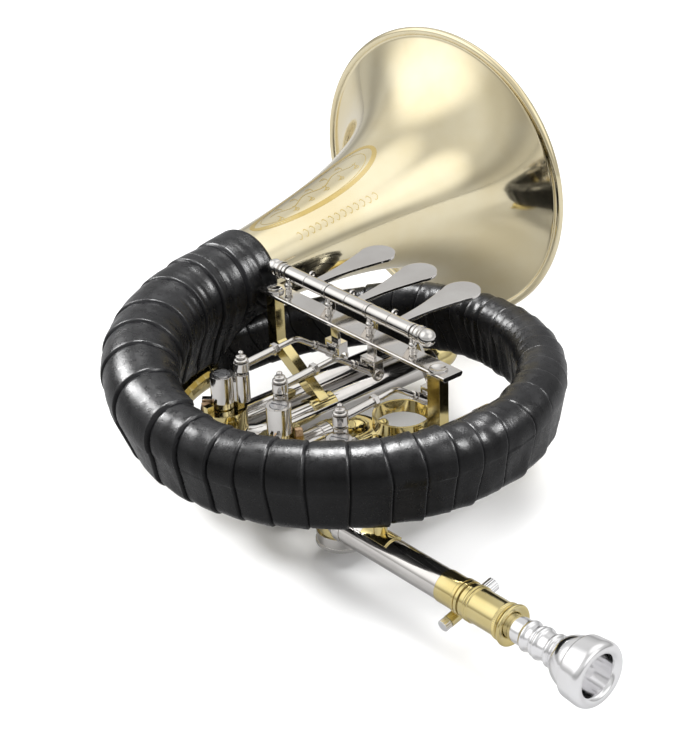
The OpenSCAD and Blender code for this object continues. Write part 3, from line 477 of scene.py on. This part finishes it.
def make_ornament():
    """An oval band with a leaf scroll inside it, and a row of small leaves beside it."""
    middle, top = 95 * MM, math.radians(270)
    half_length, half_width = 42 * MM, math.radians(24)
    leaf_row = math.radians(317)
    strokes = []

    def local(u, v):
        """A place in the oval: u along the bell and v round it, in metres."""
        d = middle - u
        return d, top + v / bell_radius(d)

    def oval(scale, width):
        ring = []
        for a in np.linspace(0, 2 * math.pi, 120, endpoint=False):
            d = middle - half_length * scale * math.cos(a)
            ring.append((d, top + half_width * scale * math.sin(a)))
        strokes.append(stroke(ring, width, True))

    oval(1.0, 2.4 * MM)
    oval(0.86, 0.35 * MM)
    u = np.linspace(-29, 29, 90) * MM
    strokes.append(stroke([local(x, 1.6 * MM * math.sin(x / (3.4 * MM))) for x in u], 0.7 * MM))
    for k in range(-5, 6):
        root = k * 5.34 * MM
        tip = 1 if k % 2 else -1
        curl = [local(root + 2.6 * MM * w * math.cos(2.2 * w), tip * (0.6 + 3.4 * math.sin(1.5 * w)) * MM)
                for w in np.linspace(0.05, 1.15, 14)]
        strokes.append(stroke(curl, 0.65 * MM))
        strokes.append(stroke([local(root + 1.1 * MM * math.cos(a), tip * 4.1 * MM + 0.8 * MM * math.sin(a))
                               for a in np.linspace(0, 2 * math.pi, 10, endpoint=False)], 0.5 * MM, True))
    for k in range(13):
        d = 72 * MM + k * 4 * MM
        for tip in (-1, 1):
            leaf = [(d + 1.9 * MM * w, leaf_row + tip * 1.9 * MM * math.sin(2 * w) / bell_radius(d))
                    for w in np.linspace(0, 1.2, 8)]
            strokes.append(stroke(leaf, 0.5 * MM))
    points, faces = [], []
    for corners, quads in strokes:
        faces += [tuple(i + len(points) for i in quad) for quad in quads]
        points += corners
    new_mesh("bell_ornament", points, faces, "engraved_brass")


# ---- mouthpiece and receiver -----------------------------------------------------------
def make_mouthpiece():
    low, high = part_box("mouthpiece")
    rim = Vector((high.x, (low.y + high.y) / 2, (low.z + high.z) / 2))
    outline = [(8.6, 1.9), (9.2, 0.7), (10.2, 0.1), (11.3, 0), (12.3, 0.35), (13.1, 1.2), (13.5, 2.5),
               (13.45, 4), (13.2, 7), (12.95, 9.6), (12.7, 10.2), (11.9, 10.5), (11.2, 10.7), (11.1, 11.2),
               (10.9, 13), (10.1, 15.6), (8.8, 18), (7.1, 19.9), (6.1, 20.8), (5.9, 21.4), (6.5, 21.7),
               (6.9, 22.3), (6.9, 22.9), (6.5, 23.5), (5.9, 23.8), (5.8, 24.4), (5.9, 25.6), (6.0, 27.4),
               (6.4, 27.8), (6.8, 28.4), (6.8, 29), (6.4, 29.6), (6.0, 29.9), (6.3, 30.3), (6.4, 30.9),
               (6.0, 31.5), (5.8, 32), (5.8, 34), (6.2, 34.4), (6.5, 35), (6.5, 35.6), (6.1, 36.2),
               (5.7, 36.6), (5.5, 37.2), (5.5, 42.6), (5, 43.4), (5, 45), (5, 60), (5, 68), (3.3, 68),
               (3, 60), (2.2, 35), (1.9, 26), (2.2, 22), (5.2, 16), (7.6, 9), (8.3, 5), (8.5, 3)]
    profile = rounded([(r * MM, d * MM) for r, d in outline], 2)
    piece = lathe("mouthpiece_body", profile, rim, (-1, 0, 0), "silver_plate", "mouthpiece", 128)
    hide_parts("mouthpiece")


def make_receiver():
    """The tuning shank: two beads, a fine knurled collar and a flared, rounded lip."""
    low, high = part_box("tuning_shank")
    end = Vector((high.x, (low.y + high.y) / 2, (low.z + high.z) / 2))
    reach = (high.x - low.x) / MM
    outline = [(5.05, 3), (5.05, 1.6), (5.6, 0.9), (6.7, 0.4), (7.7, 0.1), (8.4, 0.1), (8.75, 0.5),
               (8.8, 1), (8.5, 1.6), (7.9, 2.1), (7.5, 2.6), (7.45, 3.1), (7.5, 3.15), (7.9, 3.3),
               (7.95, 3.5), (7.95, 4.8), (7.9, 5), (7.5, 5.15), (7.35, 5.3), (7.3, 5.8), (7.3, 12),
               (7.3, 18.6), (7.35, 18.8), (7.75, 19), (7.8, 19.4), (7.75, 19.8), (7.4, 20), (7.4, 20.3),
               (7.75, 20.5), (7.8, 20.9), (7.75, 21.3), (7.35, 21.5), (7.3, 21.7), (7.3, 23.7),
               (7.25, 23.95), (5.6, 24), (5.6, 24.3), (5.6, 37), (5.4, 37.4), (5.39, 40),
               (5.39, reach - 0.3), (5.2, reach), (4.3, reach), (4.3, reach - 20), (4.4, 30), (5.05, 27)]
    profile = rounded([(r * MM, d * MM) for r, d in outline], 2, 0.2)

    def knurl(radius, d, angle):
        band = np.clip((d / MM - 3.3) / 0.15, 0, 1) * np.clip((5.0 - d / MM) / 0.15, 0, 1)
        return radius - 0.28 * MM * band * (0.5 + 0.5 * np.cos(58 * angle)) * (radius > 7.4 * MM)

    piece = lathe("receiver_body", profile, end, (-1, 0, 0), "brass", "tuning_shank", 464, knurl)
    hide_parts("tuning_shank")


def make_ball_caps():
    """Turned rings and a small knob on top of each ball post, clear of the rod's eye below."""
    outline = [(0.05, 5.4), (0.7, 5.3), (1.25, 4.8), (1.35, 4.3), (1.05, 3.7), (0.95, 3.4), (1.7, 3.2),
               (2.4, 2.95), (2.5, 2.5), (2.0, 2.2), (1.7, 1.95), (2.5, 1.75), (3.2, 1.45), (3.35, 1),
               (3, 0.5), (2, 0.15), (0.05, 0.15)]
    eye_top = 2.1 * MM
    for joint in RECORD["behaviour"]["joints"]:
        if joint["name"].startswith("rod_"):
            number = joint["name"].split("_")[1]
            base = Vector(joint["pos_m"]) + Vector((0, 0, eye_top))
            profile = rounded([(r * MM, d * MM) for r, d in outline], 1)
            lathe("ball_cap_" + number, profile, base, (0, 0, 1), "nickel_silver", "rotor_" + number, 64)


# ---- stage -----------------------------------------------------------------------------
def make_floor():
    half = 5.0
    mesh = bpy.data.meshes.new("floor")
    corners = [(-half, -half, 0), (half, -half, 0), (half, half, 0), (-half, half, 0)]
    mesh.from_pydata(corners, [], [(0, 1, 2, 3)])
    mesh.materials.append(MATERIALS["floor"])
    floor = bpy.data.objects.new("floor", mesh)
    bpy.context.scene.collection.objects.link(floor)


def softbox(name, place, size, power, only=None):
    """An area lamp that polished metal doesn't mirror, or one that lights only the pieces it is given."""
    target = Vector((0, 0, 0.07))
    light = bpy.data.lights.new(name, "AREA")
    light.shape, light.size, light.size_y, light.energy = "RECTANGLE", size[0], size[1], power
    lamp = bpy.data.objects.new(name, light)
    lamp.location = place
    lamp.rotation_mode = "QUATERNION"
    lamp.rotation_quaternion = (target - Vector(place)).to_track_quat("-Z", "Y")
    bpy.context.scene.collection.objects.link(lamp)
    if only:
        group = bpy.data.collections.new(name + "_receivers")
        for piece in only:
            group.objects.link(piece)
        lamp.light_linking.receiver_collection = group
    else:
        lamp.visible_glossy = False


def make_lights():
    softbox("key", (-0.9, -1.1, 1.5), (1.1, 0.9), 24)
    softbox("fill", (1.6, 0.3, 1.0), (0.9, 1.2), 12)
    softbox("top", (0.1, 0.5, 1.9), (1.4, 0.8), 20)
    wraps = [bpy.data.objects[n] for n in ("bell_wrap", "coil_wrap")]
    softbox("leather_top", (-0.25, 0.1, 1.1), (0.28, 0.5), 42, only=wraps)
    softbox("leather_left", (-1.0, -0.3, 0.8), (0.3, 0.6), 30, only=wraps)
    softbox("leather_right", (0.7, 0.6, 0.9), (0.3, 0.5), 26, only=wraps)
    world = bpy.data.worlds.new("studio")
    bpy.context.scene.world = world
    world.use_nodes = True
    tree = world.node_tree
    place = tree.nodes.new("ShaderNodeTexCoord").outputs["Generated"]
    height = tree.nodes.new("ShaderNodeSeparateXYZ")
    tree.links.new(place, height.inputs[0])
    ramp = tree.nodes.new("ShaderNodeValToRGB")
    tree.links.new(height.outputs["Z"], ramp.inputs["Fac"])
    ramp.color_ramp.interpolation = "EASE"
    stops = [(0.0, 0.55), (0.14, 0.40), (0.36, 0.60), (0.6, 0.74), (1.0, 0.66)]
    for element, (at, grey) in zip(ramp.color_ramp.elements, (stops[0], stops[-1])):
        element.position = at
        element.color = (grey, grey, grey, 1)
    for at, grey in stops[1:-1]:
        ramp.color_ramp.elements.new(at).color = (grey, grey, grey, 1)
    total = ramp.outputs["Color"]
    # Soft patches of light, with no edge for the polished metal to show
    patches = [((-0.55, -0.62, 0.75), 0.72, 0.75), ((0.85, 0.15, 0.55), 0.82, 0.55), ((0.05, 0.45, 0.9), 0.80, 0.5)]
    for toward, wide, strength in patches:
        dot = tree.nodes.new("ShaderNodeVectorMath")
        dot.operation = "DOT_PRODUCT"
        tree.links.new(place, dot.inputs[0])
        dot.inputs[1].default_value = Vector(toward).normalized()
        patch = tree.nodes.new("ShaderNodeMapRange")
        patch.interpolation_type = "SMOOTHERSTEP"
        tree.links.new(dot.outputs["Value"], patch.inputs["Value"])
        for key, value in (("From Min", wide), ("From Max", 0.99), ("To Min", 0.0), ("To Max", strength)):
            patch.inputs[key].default_value = value
        both = tree.nodes.new("ShaderNodeVectorMath")
        both.operation = "ADD"
        tree.links.new(total, both.inputs[0])
        tree.links.new(patch.outputs["Result"], both.inputs[1])
        total = both.outputs["Vector"]
    tree.links.new(total, tree.nodes["Background"].inputs["Color"])
    tree.nodes["Background"].inputs["Strength"].default_value = 1.0
    bpy.context.scene.view_settings.view_transform = "Standard"


def make_camera():
    forward = Vector((-0.6802, 0.5678, -0.4636)).normalized()
    up = Vector((-0.3326, 0.3246, 0.8854))
    right = forward.cross(up).normalized()
    up = right.cross(forward)
    data = bpy.data.cameras.new("camera")
    data.lens = 91.36
    camera = bpy.data.objects.new("camera", data)
    camera.matrix_world = Matrix.Translation((0.5581, -0.5004, 0.4431)) @ Matrix(
        (right, up, -forward)).transposed().to_4x4()
    bpy.context.scene.collection.objects.link(camera)
    bpy.context.scene.camera = camera


make_camera()
make_materials()
make_floor()
dress_cad_nodes()
leather_sleeve("bell_wrap", "bell_leather", -BARE_REACH / TURN_LENGTH, 0, 11, True, False)
leather_sleeve("coil_wrap", "coil_leather", 0, WRAP_END, 11, False, True)
make_bell()
make_ornament()
make_mouthpiece()
make_receiver()
make_ball_caps()
make_lights()
